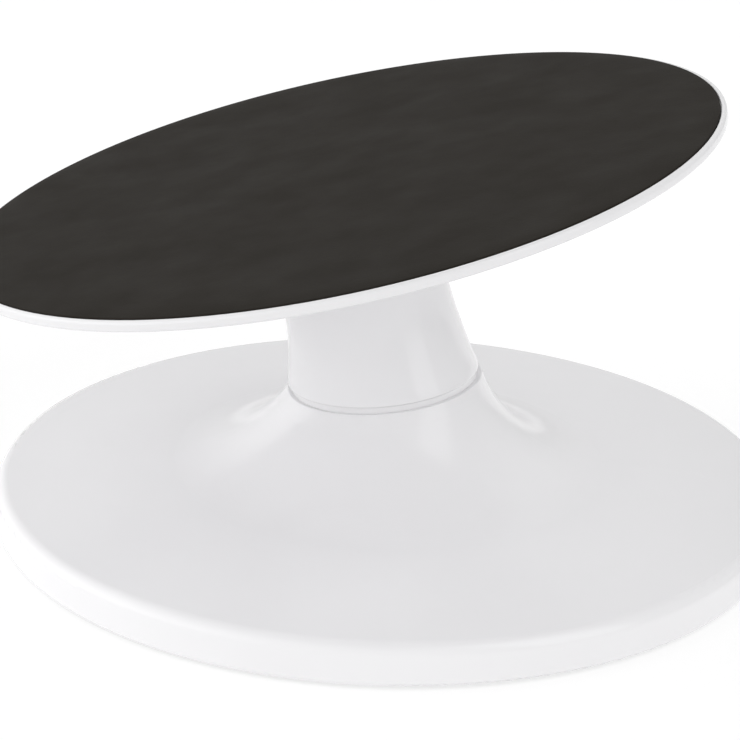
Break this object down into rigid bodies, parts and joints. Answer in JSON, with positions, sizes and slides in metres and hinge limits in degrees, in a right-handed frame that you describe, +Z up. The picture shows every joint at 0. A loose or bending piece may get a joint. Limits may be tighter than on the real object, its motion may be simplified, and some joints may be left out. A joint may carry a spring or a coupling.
{
  "type": "tilting turntable",
  "caption": "Round hand-spun turntable with a rubber mat, on a neck that swivels on a slanted seat to tilt the plate from level, over a wide dish base.",
  "frame": {"origin": "on the floor at the base's own axis, in the plane that the rubber foot ring rests on", "axes": "+Z up along the base's axis; -X towards the low side of the plate at full tilt; the tilt plane is XZ"},
  "size_m": [0.3298, 0.3182, 0.1789],
  "materials": {
    "white_gloss": "moulded, high gloss",
    "cover_plastic": "moulded, fine texture",
    "mat_rubber": "matt, fine pebble grain",
    "foot_rubber": "matt",
    "plated_steel": "zinc plated",
    "spring_steel": "oiled spring steel",
    "bearing_steel": "ground and polished",
    "bronze": "sintered bronze",
    "acetal": "natural acetal",
    "dark_nylon": "glass-filled nylon"
  },
  "bodies": {
    "base": {"base_shell": "white_gloss", "bottom_cover": "cover_plastic", "cover_screws": "plated_steel", "foot_ring": "foot_rubber", "access_plug": "cover_plastic", "detent_plate": "plated_steel", "seat_rivets": "plated_steel", "stop_pin": "plated_steel", "pivot_bush": "bronze", "slip_washer": "acetal", "friction_washer": "acetal"},
    "neck": {"neck_shell": "white_gloss", "detent_spring": "spring_steel", "detent_rivets": "plated_steel", "pivot_bolt": "plated_steel", "bolt_washer": "plated_steel", "spring_seat": "plated_steel", "pivot_spring": "spring_steel", "nut_washer": "plated_steel", "pivot_nut": "plated_steel", "bearing_deck": "dark_nylon", "deck_screws": "plated_steel", "spindle": "plated_steel", "lower_race": "bearing_steel", "retaining_washer": "plated_steel", "retaining_screw": "plated_steel"},
    "cage": {"ball_cage": "acetal", "bearing_balls": "bearing_steel"},
    "plate": {"turntable_plate": "white_gloss", "upper_race": "bearing_steel", "hub_bush": "bronze", "non_slip_mat": "mat_rubber"}
  },
  "joints": [
    {"name": "tilt_swivel", "type": "hinge", "parent": "base", "child": "neck", "pos_m": [-0.00255, 0, 0.0583], "axis": [-0.1158, 0, 0.9933], "range_deg": [0, 180], "deforming": ["detent_spring"]},
    {"name": "plate_spin", "type": "hinge", "parent": "neck", "child": "plate", "pos_m": [-0.01888, 0, 0.1274], "axis": [-0.23, 0, 0.9732], "continuous": true},
    {"name": "cage_spin", "type": "hinge", "parent": "neck", "child": "cage", "pos_m": [-0.01888, 0, 0.1274], "axis": [-0.23, 0, 0.9732], "continuous": true}
  ],
  "couplings": [
    {"joint": "cage_spin", "follows": "plate_spin", "ratio": 0.5}
  ]
}
